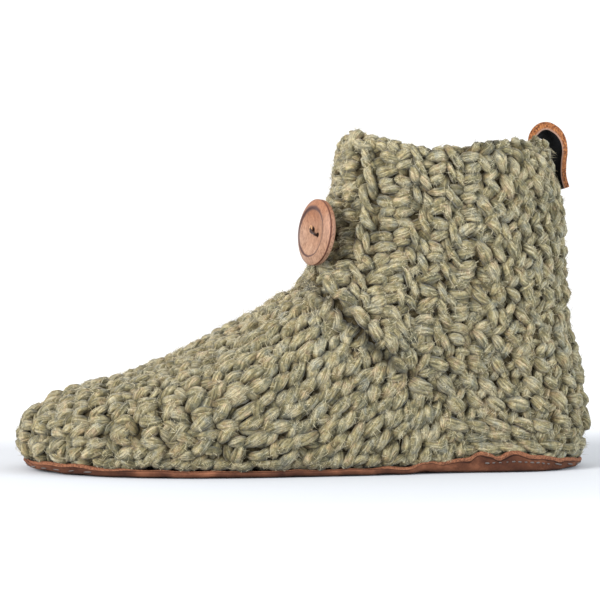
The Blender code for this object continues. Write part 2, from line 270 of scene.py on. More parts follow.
taken, under_taken = defaultdict(list), defaultdict(list)


def on_ground(spot):
    """Nearest place on the ground of the crochet, and the direction out of it."""
    return GROUND_TREE.find_nearest(spot)[:2]


def from_outside(hub, direction):
    """Where a line towards a hub first meets the wool, or None."""
    return GROUND_TREE.ray_cast(hub + direction * 260, -direction, 260)[0]


def met(hits):
    """The places of the lines that met something."""
    return [hit for hit in hits if hit is not None]


def directions(spot, way=None, upright=False):
    """Two directions flat on the ground at a place: along a way or else level, and across it."""
    normal = on_ground(spot)[1]
    along = UP.cross(normal) if way is None else way - normal * way.dot(normal)
    along = along.normalized()
    across = normal.cross(along).normalized()
    return along, -across if upright and across.z < 0 else across


def evenly(points, pitch, start=0):
    """Places at an even pitch along a line of points, each with the direction of the line."""
    found, reached, wanted = [], 0, start
    for here, there in zip(points, points[1:]):
        step = (there - here).length
        if step > 25:
            reached, wanted = 0, start
            continue
        while step > 0 and wanted <= reached + step:
            found.append((here.lerp(there, (wanted - reached) / step), (there - here).normalized()))
            wanted += pitch
        reached += step
    return found


def wander(amount):
    """A small random amount to either side."""
    return float(chance.normal(0, amount))


def calm(place):
    """How far the loops are held down: under the button, by the strap, along the front edge."""
    near_button = (place - Vector((8.5, -22, 112))).length
    held = max(0, 1 - max(0, near_button - 12) / 6)
    behind = abs(place.y) < 10 and place.x > 98 or abs(place.y) < 24 and place.x > 107
    if behind and place.z > 126:
        held = 1
    if place.x < 16 and 116 < place.z < 136:
        held = max(held, 0.7)
    # the hollows over the heel and under the button, and the heel itself
    if (place.x > 95 and 57 < place.z < 76) or (place.x < 4 and 80 < place.z < 96):
        held = 1.3
    if place.x > 106 and 14 < place.z < 45:
        held = max(held, 0.7)
    return held


def lay_yarn(batch, start, end, width, rise, bow=0, dive=1.2, painted_lightness=1):
    """One loop of yarn from start to end: it comes up out of the ground, and dives back into it."""
    chord = end - start
    side = on_ground((start + end) / 2)[1].cross(chord).normalized()
    centres, outs, halves, crest = [], [], [], []
    for i in range(YARN_STEPS + 1):
        share = i / YARN_STEPS
        arch = sin(pi * share)
        place, normal = on_ground(start + chord * share + side * (bow * arch))
        lift = -dive + (rise + dive) * arch ** 0.7 - CALM_SINK * calm(place) * arch
        centre = place + normal * lift
        centre.z = max(centre.z, LIP_HEIGHT)
        centres.append(centre)
        outs.append(normal)
        halves.append(width / 2 * (0.34 + 0.70 * arch ** 0.65))
        # painted light and shade: the loop is painted paler along its arch and darker towards its
        # ends
        crest.append(arch * painted_lightness)
    points = np.array(centres)
    ways = np.gradient(points, axis=0)
    ways /= np.linalg.norm(ways, axis=1)[:, None]
    across = np.cross(ways, np.array(outs))
    across /= np.linalg.norm(across, axis=1)[:, None]
    normals = np.cross(across, ways)
    steps = np.linalg.norm(np.diff(points, axis=0), axis=1)
    lengths = np.concatenate(([0], np.cumsum(steps)))
    # the ply makes the section an oval that turns along the yarn, and the spinning makes it lumpy
    wound = ring_angles[None, :] - (lengths * YARN_TWIST + chance.uniform(0, 6.28))[:, None]
    lumps = chance.normal(1, 0.035, wound.shape) * chance.normal(1, 0.04, (len(wound), 1))
    half = (np.array(halves)[:, None] * (1 + PLY_DEPTH * np.cos(2 * wound)) * lumps)[:, :, None]
    ring = (points[:, None, :] + across[:, None, :] * np.cos(ring_angles)[None, :, None] * half
            + normals[:, None, :] * np.sin(ring_angles)[None, :, None] * half * YARN_FLAT)
    batch["points"].append(ring.reshape(-1, 3))
    batch["lengths"].append(lengths + chance.uniform(0, 400))
    batch["girth"].append(width * 2.9)
    batch["tone"].append((chance.uniform(), chance.uniform()))
    batch["crest"].append(crest)
    batch["tops"].append((centres[2:-1], outs[2:-1], halves[2:-1]))


def make_yarn(name, batch):
    """One mesh of a batch of loops, with its lengths in UV and its tones and painted shade as an
    attribute.
    """
    each = (YARN_STEPS + 1) * YARN_SIDES
    # the corners of one loop's faces, as step and side; a side may be one past the last
    corners = [[(i, k), (i, k + 1), (i + 1, k + 1), (i + 1, k)]
               for i in range(YARN_STEPS) for k in range(YARN_SIDES)]
    corners.append([(0, k) for k in range(YARN_SIDES)][::-1])
    corners.append([(YARN_STEPS, k) for k in range(YARN_SIDES)])
    faces = [tuple(n * each + i * YARN_SIDES + k % YARN_SIDES for i, k in face)
             for n in range(len(batch["points"])) for face in corners]
    mesh = bpy.data.meshes.new(name)
    mesh.from_pydata((np.concatenate(batch["points"]) * MM).tolist(), [], faces)
    steps, sides = np.array([corner for face in corners for corner in face]).T
    along = np.array(batch["lengths"])[:, steps]
    round_it = np.array(batch["girth"])[:, None] * sides[None, :] / YARN_SIDES
    layer = mesh.uv_layers.new(name="yarn")
    layer.data.foreach_set("uv", (np.stack([along, round_it], axis=2) / 10)
                           .astype(np.float32).ravel())
    tone = np.repeat(np.array(batch["tone"]), each, axis=0)
    # painted light and shade: a loop is painted palest along its top, and darker towards its sides
    # and its ends
    painted_top_light = 0.42 + 0.58 * np.clip(np.sin(ring_angles), 0, 1)
    crest = (np.array(batch["crest"]).ravel()[:, None] * painted_top_light[None, :]).ravel()
    colours = np.stack([tone[:, 0], crest, tone[:, 1], np.ones(len(crest))], axis=1)
    attribute = mesh.attributes.new("tone", "FLOAT_COLOR", "POINT")
    attribute.data.foreach_set("color", colours.astype(np.float32).ravel())
    mesh.validate()
    made = new_object(name, mesh)
    bpy.ops.object.shade_smooth()
    finish_piece(made, wool, "upper")


def stitch(batch, spot, ways, loops):
    """The loops of one stitch: each has its place, angle, length, width and rise."""
    along, across = ways
    for right, up, angle, length, width, rise in loops:
        middle = spot + along * (right + wander(0.7)) + across * (up + wander(0.7))
        turned = radians(angle + wander(10))
        way = along * cos(turned) + across * sin(turned)
        reach = way * (length * (1 + wander(0.12)) / 2)
        lay_yarn(batch, middle - reach, middle + reach, width * (1 + wander(0.09)),
                 rise + 0.8 + wander(0.3), wander(0.8))


def cell_of(spot):
    """The cell that a place lies in."""
    return tuple(int(c // CELL) for c in spot)


def filed_near(cells, spot):
    """What is filed in a place's cell and in the cells round it."""
    i, j, k = cell_of(spot)
    return [thing for di, dj, dk in product((-1, 0, 1), repeat=3)
            for thing in cells.get((i + di, j + dj, k + dk), ())]


def is_free(spot, gap, cells=taken):
    """Whether no stitch stands nearer than the gap, and if so the spot is taken."""
    if (spot - STAR_POINT).length < STAR_CLEAR and cells is taken:
        return False
    if any((other - spot).length < gap for other in filed_near(cells, spot)):
        return False
    cells[cell_of(spot)].append(spot.copy())
    return True


# grey-green heather wool: streaked along its ply, flecked, unevenly dyed, with painted shade
# between the loops
wool, tree = new_material("plied roving wool", 0.9, 0.2)
feed(shader_of(tree), {"Sheen Weight": 0.1, "Sheen Roughness": 0.5})
tone = add(tree, "Attribute", attribute_name="tone").outputs["Color"]
tone_and_shade_parts = add(tree, "SeparateColor", {"Color": tone}).outputs
spot_here = add(tree, "TexCoord").outputs["Object"]


def ply_noise(scale, detail, roughness):
    """Noise drawn out along the ply, which winds slackly round the yarn."""
    lay = add(tree, "Mapping", {"Vector": add(tree, "UVMap", uv_map="yarn").outputs["UV"],
                                "Rotation": (0, 0, radians(14)), "Scale": scale},
              vector_type="TEXTURE")
    return add(tree, "TexNoise", {"Vector": lay.outputs["Vector"], "Scale": 1, "Detail": detail,
                                  "Roughness": roughness}).outputs["Fac"]


fibres = ply_noise((0.55, 0.085, 1), 3, 0.65)
plies = ply_noise((1, 0.2, 1), 1, 0.4)
patches = add(tree, "TexNoise", {"Vector": spot_here, "Scale": 190, "Detail": 3,
                                 "Roughness": 0.7}).outputs["Fac"]
mixed = add(tree, "Math", {0: tone_and_shade_parts["Red"], 1: 0.12, 2: patches},
            operation="MULTIPLY_ADD").outputs["Value"]
mixed = add(tree, "Math", {0: plies, 1: 0.75, 2: mixed}, operation="MULTIPLY_ADD").outputs["Value"]
heather = add(tree, "ValToRGB", {"Fac": mixed},
              stops=((0.7, "#625d48"), (0.78, "#726c54"), (0.86, "#827a60"), (0.93, "#8d866d"),
                     (1, "#968f7b"))).outputs["Color"]
streaks = add(tree, "ValToRGB", {"Fac": fibres},
              stops=((0.38, (0.43, 0.42, 0.37)), (0.62, (1.13, 1.14, 1.15)))).outputs["Color"]
# painted light and shade from the crest channel: loops paler along their tops, darker at their
# sides and ends
depth = add(tree, "ValToRGB", {"Fac": tone_and_shade_parts["Green"]},
            stops=((0.12, (0.37, 0.315, 0.18)), (0.45, (0.67, 0.65, 0.61)),
                   (0.85, (1.11, 1.095, 1.12)))).outputs["Color"]
flecks = add(tree, "TexNoise", {"Vector": spot_here, "Scale": 1300, "Detail": 2,
                                "Roughness": 0.6}).outputs["Fac"]
flecks = add(tree, "MapRange", {"Value": flecks, "From Min": 0.34, "From Max": 0.66, "To Min": 0.8,
                                "To Max": 1.17}).outputs["Result"]
tint = add(tree, "TexNoise", {"Vector": spot_here, "Scale": 160, "Detail": 4,
                              "Roughness": 0.75}).outputs["Fac"]
tint = add(tree, "ValToRGB", {"Fac": tint},
           stops=((0.37, (0.52, 0.565, 0.585)), (0.46, (0.75, 0.75, 0.67)),
                  (0.55, (0.82, 0.785, 0.63)), (0.63, (0.89, 0.765, 0.65)))).outputs["Color"]
# painted shade: the wool is painted darker low down, where it is pressed against the lip of the
# sole
here = add(tree, "SeparateXYZ", {"Vector": spot_here}).outputs
lip_shade = add(tree, "MapRange", {"Value": here["Z"], "From Min": 0.0032, "From Max": 0.0068,
                                "To Min": 0.34}).outputs["Result"]
# painted shade too in the groove along the foot of the flap, on the outer side above the star
off_groove = add(tree, "Math", {0: here["X"], 1: here["Z"]}, operation="ADD").outputs["Value"]
off_groove = add(tree, "Math", {0: off_groove, 1: 0.0845}, operation="SUBTRACT").outputs["Value"]
off_groove = add(tree, "Math", {0: off_groove}, operation="ABSOLUTE").outputs["Value"]
groove_shade = add(tree, "MapRange", {"Value": off_groove, "From Min": 0.0015, "From Max": 0.0045,
                                "To Min": 0.42}, interpolation_type="SMOOTHSTEP").outputs["Result"]
above_star = add(tree, "MapRange", {"Value": here["Z"], "From Min": 0.04,
                                    "From Max": 0.048}).outputs["Result"]
outer_side = add(tree, "MapRange", {"Value": here["Y"], "From Min": 0,
                                    "From Max": -0.012}).outputs["Result"]
at_flap = add(tree, "Math", {0: above_star, 1: outer_side}, operation="MULTIPLY").outputs["Value"]
groove_shade = add(tree, "Mix", {0: at_flap, 2: 1, 3: groove_shade}, data_type="FLOAT").outputs[0]
height = add(tree, "Math", {0: fibres, 1: 0.6, 2: plies},
             operation="MULTIPLY_ADD").outputs["Value"]
# streaks, flecks and tint are the wool's own colour; the other layers are painted light and shade
for layer in (streaks, depth, flecks, tint, lip_shade, groove_shade):
    heather = add(tree, "Mix", {0: 1, 6: heather, 7: layer}, data_type="RGBA",
                  blend_type="MULTIPLY").outputs[2]
paint(heather, height, 1, 0.0016)

under = defaultdict(list)  # a batch of loops, which become one mesh
UNDER_GAP = 4.7  # between loops of the lower layer


def lies_outside(spot, normal):
    """Whether nothing of the slipper stands over this place."""
    return GROUND_TREE.ray_cast(spot + normal * 0.5, normal, 200)[0] is None


def shuffled_ground():
    """The middles and normals of the ground's faces, in a random order."""
    for number in chance.permutation(len(ground.data.polygons)):
        face = ground.data.polygons[int(number)]
        yield face.center / MM, face.normal.copy()


# the lower layer: the backs of the loops, which fill the gaps between those on top
for spot, normal in shuffled_ground():
    in_groove = abs(spot.x + spot.z - GROOVE_SUM + 1) < 3.6 and spot.z > 45
    if spot.z < 4 or normal.z < -0.75 or in_groove:
        continue
    if (spot - STAR_POINT).length < 4 or not lies_outside(spot, normal):
        continue
    if not is_free(spot, UNDER_GAP, under_taken):
        continue
    way = normal.orthogonal().normalized()
    way = Matrix.Rotation(chance.uniform(0, pi), 3, normal) @ way
    # painted shade: the lower loops are painted darker than those on top
    lay_yarn(under, spot - way * 5, spot + way * 5, 5.2 * (1 + wander(0.1)),
             -0.1 + wander(0.3), wander(1), painted_lightness=0.6)

foot = defaultdict(list)
ROUND_PITCH = 12.8  # from one round to the next, along the foot
STITCH_PITCH = 7  # from one stitch to the next, round the foot
TOE_PART_END = -25  # towards the toe from here, a stitch's two loops lie one above the other
TOE_HUB = Vector((-95, 4, 17))
ROUNDS_END = 84  # x under the heel, where the last round starts, leaning back by half a right angle
FOOT_GAP, COLUMN_GAP, LEANING_GAP, KNOT_GAP = 5.2, 3.4, 5, 6  # least between stitches of a kind
# place right and up of the stitch's middle, angle, length, width, rise
TIP_STITCH = ((-0.6, 2.2, 30, 12, 6, 1.9), (0.4, -2.2, -16, 11.5, 5.8, 1.7))
TOE_STITCH = ((-0.6, 2.2, 30, 12, 5.6, 1), (0.4, -2.2, -16, 11.5, 5.4, 0.7))
SIDE_STITCH = ((-2.2, 0.2, 13, 14, 5.5, 1.2), (4.3, -1, 38, 10.5, 5, 1))
VAMP_STITCH = ((-2.2, 0, 25, 10, 5.2, 0.3), (3.2, 0.4, -35, 8.5, 5, 0.1))
LAST_STITCH = ((-2, 0, 8, 11, 5, 0.8), (3, 0.8, 38, 8, 4.4, 0.7))
over_foot = np.radians(np.arange(-40, 221, 4))
rounds = []
for opened in np.radians((16, 36, 56, 76)):
    rounds.append((TOE_HUB, [Vector((-cos(opened), 0, 0)) + sin(opened)
                             * (OUTWARD * cos(a) + Vector((0, 0, sin(a))))
                             for a in over_foot]))
sole_x = TOE_HUB.x
while sole_x < ROUNDS_END:
    lean = radians(45 * (sole_x + 95) / 181)
    leaning_up = Vector((-sin(lean), 0, cos(lean)))
    rounds.append((Vector((sole_x, 0, 0)) + leaning_up * 20,
                   [OUTWARD * cos(a) + leaning_up * sin(a) for a in over_foot]))
    sole_x += ROUND_PITCH
for number, (hub, spokes) in enumerate(rounds):
    at_toe = hub.x < TOE_PART_END
    pitch = STITCH_PITCH + (2.2 if at_toe else 0)
    line = met(from_outside(hub, spoke) for spoke in spokes)
    for spot, way in evenly(line, pitch, pitch * (0.25 + 0.5 * (number % 2))):
        if spot.z < 5 or spot.x + spot.z > GROOVE_SUM - 9 or not is_free(spot, FOOT_GAP):
            continue
        normal = on_ground(spot)[1]
        side = 1 if spot.y < 0 else -1
        along = (way * side).cross(normal).normalized()
        if along.x < 0 and number > 3:
            along = -along
        if number < 2 and spot.z < 24:
            kind = TIP_STITCH
        elif abs(normal.y) < 0.55 and number > 4:
            kind = VAMP_STITCH
        else:
            kind = TOE_STITCH if at_toe else SIDE_STITCH
        stitch(foot, spot, (along, normal.cross(along).normalized() * side), kind)
# the last round, pressed down on the lip of the sole
for side in (-1, 1):
    line = met(from_outside(Vector((x, 0, 6.6)), Vector((0, side, 0))) for x in range(-88, 60, 2))
    for spot, way in evenly(line, 8.6):
        stitch(foot, spot, directions(spot, way, upright=True), LAST_STITCH)
make_yarn("under_crochet", under)
make_yarn("foot_crochet", foot)

# ---- stitches of the shaft ----
# The shaft is worked sideways in ribs: upright ridges of leaning loops, with ladders of level loops
# between them. Behind the ankle bone the loops lean in rows.
shaft = defaultdict(list)
AXIS_X = 66  # of the upright line through the middle of the shaft
COLUMN_TOP, COLUMN_LOW = 142, 58
# each column seen from the outer side: its x at these heights, then its kind
COLUMN_HEIGHTS = (66, 90, 113, 142)
OUTER_COLUMNS = (
    (2, 7, 11, 17, "ladder"), (12, 14, 17.5, 19, "ladder"), (19, 22, 25.5, 27, "ridge"),
    (26.5, 30.5, 34, 35, "ladder"), (32, 38, 41.5, 41.5, "ladder"), (37, 43.5, 49, 47.5, "ridge"),
    (49, 53.5, 57, 56.5, "ladder"), (57.5, 61, 63.5, 63.5, "ridge"), (64.5, 68, 70.5, 71, "ladder"),
)
COLUMN_PITCH = {"ridge": 9, "ladder": 4.9}
RIDGE_LOOPS = ((-1.4, 1.5, -72, 11.5, 3.9, 2), (1.5, -2.4, -66, 11, 3.9, 1.9))
LEANING_LOOPS = ((-0.8, 0.4, -58, 12.6, 5.2, 1.3), (3.4, -4.8, 48, 9.6, 4.8, 1))


def work_column(place_at, kind):
    """A column of loops from the collar down, each place found by its height."""
    height, count = COLUMN_TOP + wander(1), 0
    while height > COLUMN_LOW:
        spot = place_at(height)
        if spot is not None and is_free(spot, COLUMN_GAP):
            if kind == "ridge":
                loops = RIDGE_LOOPS
            else:
                tilt = (7 if count % 2 else -5) + wander(6)
                loops = ((0, 0, tilt, 10.2, 5.3, 1.1),)
            stitch(shaft, spot, directions(spot), loops)
        height -= COLUMN_PITCH[kind]
        count += 1


def outer_place(height, xs):
    """Place of an outer column at a height; it ends at the groove in front, and over the heel."""
    x = float(np.interp(height, COLUMN_HEIGHTS, xs))
    if height < max(COLUMN_LOW, GROOVE_SUM + 4 - x):
        return None
    return from_outside(Vector((x, 0, height)), OUTWARD)


def spoke_at(degrees):
    """The level direction at an angle round from the front, by the outer side."""
    a = radians(degrees)
    return Vector((-cos(a), -sin(a), 0))


def polar_place(degrees, height, axis_x=AXIS_X):
    """Place on the wool at an angle round an upright axis, and a height."""
    return from_outside(Vector((axis_x, 0, height)), spoke_at(degrees))


def polar_line(turns, height, axis_x=AXIS_X):
    """A line of places at a height, at all the angles where there is wool."""
    return met(polar_place(degrees, height, axis_x) for degrees in turns)


def inner_place(height, degrees):
    """Place of an inner column at a height; it ends at the groove."""
    spot = polar_place(degrees, height)
    return None if spot is None or spot.x + spot.z < GROOVE_SUM + 4 else spot


for *xs, kind in OUTER_COLUMNS:
    work_column(lambda height: outer_place(height, xs), kind)

# the flap's lower edge: a chain of steep strands above the groove, which ends at a star of short
# loops drawn in to one point
for x in np.arange(9, 39, 6):
    spot = from_outside(Vector((x, 0, 92 - x)), OUTWARD)
    if spot is not None:
        stitch(shaft, spot, directions(spot), ((0, 0, -52, 12, 5.8, 3),))
star = on_ground(STAR_POINT)[0]
star_along, star_up = directions(STAR_POINT)
for degrees in (8, 52, 98, 140, 188, 228, 275, 318):
    a = radians(degrees + wander(6))
    ray = star_along * cos(a) + star_up * sin(a)
    lay_yarn(shaft, star + ray * 2.3, star + ray * (12.5 + wander(0.8)), 5.4 + wander(0.3),
             2.1 + wander(0.3), wander(0.5))

# behind the ankle bone, and round the back
for number, height in enumerate(np.arange(139, 56, -9.9)):
    for spot, way in evenly(polar_line(range(96, 216, 3), height), 7.8, 3.9 * (number % 2)):
        if not (spot.y < 0 and spot.x < 76) and is_free(spot, LEANING_GAP):
            stitch(shaft, spot, directions(spot, way, upright=True), LEANING_LOOPS)
# the inner side and the front
for number, (spot, way) in enumerate(evenly(polar_line(range(214, 378, 3), 112), 8)):
    turned = np.degrees(atan2(-spot.y, -(spot.x - AXIS_X))) % 360
    if turned < 180:
        turned += 360
    work_column(lambda height: inner_place(height, turned),
                "ridge" if number % 3 == 1 else "ladder")
make_yarn("shaft_crochet", shaft)

# ---- stitches of the heel ----
# Round the heel the rows are packed: each stitch is a plump knot with the ends of three short loops
# fanned out under it, set in a diamond grid. Towards the sole they are drawn out into long strands.
heel = defaultdict(list)
HEEL_X = 88  # of the upright axis that the rows run round
KNOT = ((0, 0.8, -42, 10.6, 7, 1.5), (-2.4, -3.8, 64, 7.4, 4.2, 0.7),
        (2.8, -3.6, 118, 7.4, 4.2, 0.7))
LONG_STRANDS = ((0, 0, -27, 17, 5.6, 1.6), (-1, -4, -20, 14, 5, 0.8))
for number, height in enumerate((57.5, 48.5, 39.5, 30.5, 21.5)):
    line = [hit for hit in polar_line(range(30, 331, 3), height, HEEL_X)
            if hit.x + hit.z > GROOVE_SUM - 2]
    for spot, way in evenly(line, 10.4, 5.2 * (number % 2)):
        if is_free(spot, KNOT_GAP):
            stitch(heel, spot, directions(spot, way, upright=True),
                   KNOT if height > 25 or spot.x > 102 else LONG_STRANDS)
line = [hit for hit in polar_line(range(20, 341, 3), 11.5, HEEL_X) if hit.x > 55]
for spot, way in evenly(line, 11):
    stitch(heel, spot, directions(spot, way), ((0, 0, -9, 19, 5, 1),))
make_yarn("heel_crochet", heel)

# ---- edge of the collar and the lining side ----
# A chain of leaning loops finishes the collar's edge. Inside, the backs of the ribs show as level
# loops.
collar = defaultdict(list)
RIM_LOOPS = ((0, 1.9, 24, 9.5, 4.4, 0.9), (0.6, -1.9, -24, 9.5, 4.4, 0.9))
rim_line = []
for edge in polar_line(range(0, 361, 4), 139):
    inwards = (Vector((AXIS_X, 0, edge.z)) - edge).normalized()
    rim_line.append(GROUND_TREE.ray_cast(edge + inwards * 2.2 + UP * 40, -UP)[0])
for spot, way in evenly(met(rim_line), 6.2):
    # the strap lies over the edge here
    if spot.x > 100 and abs(spot.y) < 9:
        continue
    stitch(collar, spot, directions(spot, way), RIM_LOOPS)


def lone_loop(place, loop):
    """One more loop on the ground nearest a place, turned from the direction of the heel."""
    stitch(collar, on_ground(place)[0], directions(place, HEELWARD), (loop,))


# the collar rises to a corner at the front, where plump loops meet
for x, y, angle, rise in ((17.5, -24, 52, 3.1), (21.5, -29, -34, 2.9), (16, -14, 40, 2.4)):
    lone_loop(Vector((x, y, 151)), (0, 0, angle, 11, 5.4, rise))
# plumper loops crowd up on both sides of the strap
for x, y, z, angle in ((99, -22, 146, 30), (103, -18.5, 146.5, -25), (106, -14.5, 146.5, 40),
                       (104, -14, 148, 10), (100, 20, 146.5, -30), (104.5, 16, 146.5, 25),
                       (108.5, 12, 145.5, -35)):
    lone_loop(Vector((x, y, z)), (0, 0, angle, 10, 5.6, 3.4))
    if y < 0 and x < 107:
        lone_loop(Vector((x, y, z)), (0, 0.5, -angle, 10, 5.2, 5.2))
# and four more stand up in front of the strap, where its near leg goes down inside the collar
for *place, angle in ((104.8, -13, 148.6, 8), (108.6, -12.5, 147.8, -24),
                      (106, -12.5, 151, 30), (109.9, -12, 149, -38)):
    lone_loop(Vector(place), (0, 0, angle, 9.5, 5.4, 1))
    collar["points"][-1] += np.array(place) - collar["points"][-1].mean(axis=0)
# the lining side
for number, height in enumerate(np.arange(139, 92, -5.2)):
    axis = Vector((AXIS_X, 0, height))
    line = met(GROUND_TREE.ray_cast(axis, spoke_at(turn), 90)[0] for turn in range(0, 361, 5))
    for spot, way in evenly(line, 9.6, 4.8 * (number % 2)):
        stitch(collar, spot, directions(spot, way), ((0, 0, 5, 10, 4.7, 0.7),))
make_yarn("collar_crochet", collar)

# wherever the loops leave a hole, one more short loop swells out of it
FILL_REACH = 3.5  # from the middle line of a loop to where a hole starts
filling, middles = defaultdict(list), defaultdict(list)


def remember(batch, first=0):
    """Files the middle lines of a batch's loops by place."""
    for ring in batch["points"][first:]:
        for middle in ring.reshape(YARN_STEPS + 1, YARN_SIDES, 3).mean(axis=1)[1:-1]:
            middles[cell_of(middle)].append(middle)


def is_hole(spot):
    """Whether no loop's middle line passes near this place."""
    near = filed_near(middles, spot)
    return not near or np.linalg.norm(np.array(near) - np.array(spot), axis=1).min() > FILL_REACH


for batch in (foot, shaft, heel, collar):
    remember(batch)
for spot, normal in shuffled_ground():
    # the groove stays open along both sides, but not across the throat
    in_groove = abs(spot.x + spot.z - GROOVE_SUM + 2) < 6 and 45 < spot.z < 80
    if spot.z < 7 or normal.z < -0.6 or in_groove or (spot - star).length < 9:
        continue
    if not is_hole(spot + normal * 1.2) or not lies_outside(spot, normal):
        continue
    level = UP.cross(normal)
    way = level.normalized() if level.length > 0.2 else HEELWARD
    way = Matrix.Rotation(radians(22 + wander(28)), 3, normal) @ way
    lay_yarn(filling, spot - way * 5, spot + way * 5, 4.5 * (1 + wander(0.1)),
             0.9 + wander(0.3), wander(0.8))
    remember(filling, len(filling["points"]) - 1)
make_yarn("filling_crochet", filling)

# ---- loose fibres ----
# Roving wool sheds: fine fibres lie across the loops everywhere, and stand off them all over, so
# that the outline is soft.
FIBRE_HALF = 0.07  # drawn about four times as thick as a wool fibre, so that it shows
tops = [top for batch in (foot, shaft, heel, collar, filling) for top in batch["tops"]]


def shed_fibres(name, colour, count, stand, reach_least, reach_most):
    """Many three-sided bent fibres, which leave the tops of the loops at up to a steepness."""
    points, faces = [], []
    for number in range(count):
        centres, outs, halves = tops[int(chance.integers(len(tops)))]
        which = int(chance.integers(len(centres)))
        out = outs[which]
        flat = Vector(chance.normal(0, 1, 3))
        flat = (flat - out * flat.dot(out)).normalized()
        start = centres[which] + (out * 0.9 + flat * 0.35).normalized() * (halves[which] * 0.9)
        way = (flat + out * chance.uniform(-0.1, stand)).normalized()
        bend = Vector(chance.normal(0, 0.6, 3)) - out * 0.2
        # a fibre close to the sole bends up, away from the leather
        if start.z < 9:
            way.z, bend.z = abs(way.z), abs(bend.z)
        reach = chance.uniform(reach_least, reach_most)
        side = way.orthogonal().normalized()
        other = way.cross(side)
        base = len(points)
        spot = start - way * 0.3
        for half in (FIBRE_HALF, FIBRE_HALF * 0.8):
            for a in (0, 2.094, 4.189):
                points.append(spot + (side * cos(a) + other * sin(a)) * half)
            way = (way + bend * 0.45).normalized()
            spot = spot + way * reach
        points.append(spot)
        faces.append((base + 2, base + 1, base))
        for k in range(3):
            j = (k + 1) % 3
            faces.append((base + k, base + j, base + j + 3, base + k + 3))
            faces.append((base + 3 + k, base + 3 + j, base + 6))
    mesh = bpy.data.meshes.new(name)
    mesh.from_pydata([tuple(p * MM) for p in points], [], faces)
    # single fibres that have worked loose from the yarn
    loose = new_material("loose wool fibre", 0.7, 0.3, colour)[0]
    finish_piece(new_object(name, mesh), loose, "upper")


shed_fibres("pale_fibres", "#b3aa8e", 12000, 0.3, 0.7, 1.9)
shed_fibres("dark_fibres", "#5a5443", 9000, 0.2, 0.7, 1.9)
shed_fibres("standing_fibres", "#9f967c", 14000, 1.3, 0.8, 2.3)

# ---- sole ----
# A tray of soft brown leather, 2.2 mm thick. Its lip is turned up against the wool and sewn through
# with grey thread. Its cut edge ripples between the stitches, and shows its raw orange fibre.
sole = merged_copy("sole", "sole_tray")
# the lip's cut edge: the corners of the tray with nothing much higher close by
spots = [v.co / MM for v in sole.data.vertices]
edge_numbers = [number for number, spot in enumerate(spots) if spot.z > 2.5
                and all(other.z < spot.z + 1.5 for other in spots if (other - spot).length < 4.6)]
cut_edge = sole.vertex_groups.new(name="cut_edge")
cut_edge.add(edge_numbers, 1, "REPLACE")
apply_modifier(sole, "SUBSURF", levels=2, render_levels=2)
rim = [max((g.weight for g in v.groups), default=0) for v in sole.data.vertices]
# each ripple: its x and side, how far it is pushed up and outwards, and its reach
RIPPLES = (
    (51, -1, 2.6, 0.5, 7), (62.5, -1, 1.9, 0.7, 7), (71, -1, 1.6, 0.3, 6.5),
    (77, -1, 3.2, 0.6, 6), (91, -1, 2.6, 0.6, 7), (101, -1, 0.8, 0.6, 7),
    (108.5, -1, 0.9, 0.3, 6), (119, -1, 1, 0.5, 6), (33, -1, 0.9, 0.4, 8),
    (14, -1, 0.6, 0.6, 8), (-6, -1, 0.5, 0.4, 9), (-24, -1, 0.7, 0.7, 8),
    (-45, -1, 0.5, 0.4, 9), (-66, -1, 0.6, 0.6, 8), (-84, -1, 0.4, 0.5, 8),
    (-104, -1, 0.9, 0.5, 8), (-118, -1, 0.7, 0.4, 7), (-127, 1, 1, 0.6, 7),
    (-112, 1, 0.8, 0.5, 8), (-92, 1, 1.2, 0.6, 8), (-70, 1, 0.9, 0.5, 9),
    (-48, 1, 1.2, 0.6, 8), (-25, 1, 1, 0.5, 9), (-4, 1, 1.4, 0.6, 9),
    (18, 1, 1, 0.5, 8), (37, 1, 1.5, 0.6, 8), (56, 1, 1.8, 0.5, 8),
    (74, 1, 2.2, 0.6, 7), (92, 1, 2, 0.6, 8), (108, 1, 1.2, 0.5, 7),
)
for x, side, raised, outwards, reach in RIPPLES:
    with editing("DESELECT"):
        bpy.ops.mesh.select_mode(type="VERT")
    for vertex, weight in zip(sole.data.vertices, rim):
        vertex.select = (weight > 0.5 and abs(vertex.co.x / MM - x) < 1.9
                         and vertex.co.y * side > 0)
    bpy.ops.object.mode_set(mode="EDIT")
    bpy.ops.transform.translate(value=(0, side * outwards * MM, raised * MM),
                                use_proportional_edit=True, proportional_size=reach * MM,
                                proportional_edit_falloff="SMOOTH")
bpy.ops.object.mode_set(mode="OBJECT")
bpy.ops.object.shade_smooth()


def keep_as_attribute(piece, name, values):
    """Keeps a value per vertex as an attribute, in place of the piece's vertex groups."""
    piece.vertex_groups.clear()
    piece.data.attributes.new(name, "FLOAT", "POINT").data.foreach_set("value", values)


keep_as_attribute(sole, "cut_edge", rim)
# soft suede, worn and greyed in broad patches, paler and more orange where it is cut
suede, tree = new_material("brown suede leather", 0.85, 0.15)
spot_here = add(tree, "TexCoord").outputs["Object"]
hide = add(tree, "TexNoise", {"Vector": spot_here, "Scale": 55, "Detail": 5,
                              "Roughness": 0.65}).outputs["Fac"]
hide = add(tree, "ValToRGB", {"Fac": hide},
           stops=((0.33, "#2e1811"), (0.52, "#4f2f20"), (0.7, "#784d37"))).outputs["Color"]
nap = add(tree, "TexNoise", {"Vector": spot_here, "Scale": 1600, "Detail": 3}).outputs["Fac"]
cut = add(tree, "ValToRGB", {"Fac": nap},
          stops=((0.35, "#4b2d20"), (0.65, "#7b5139"))).outputs["Color"]
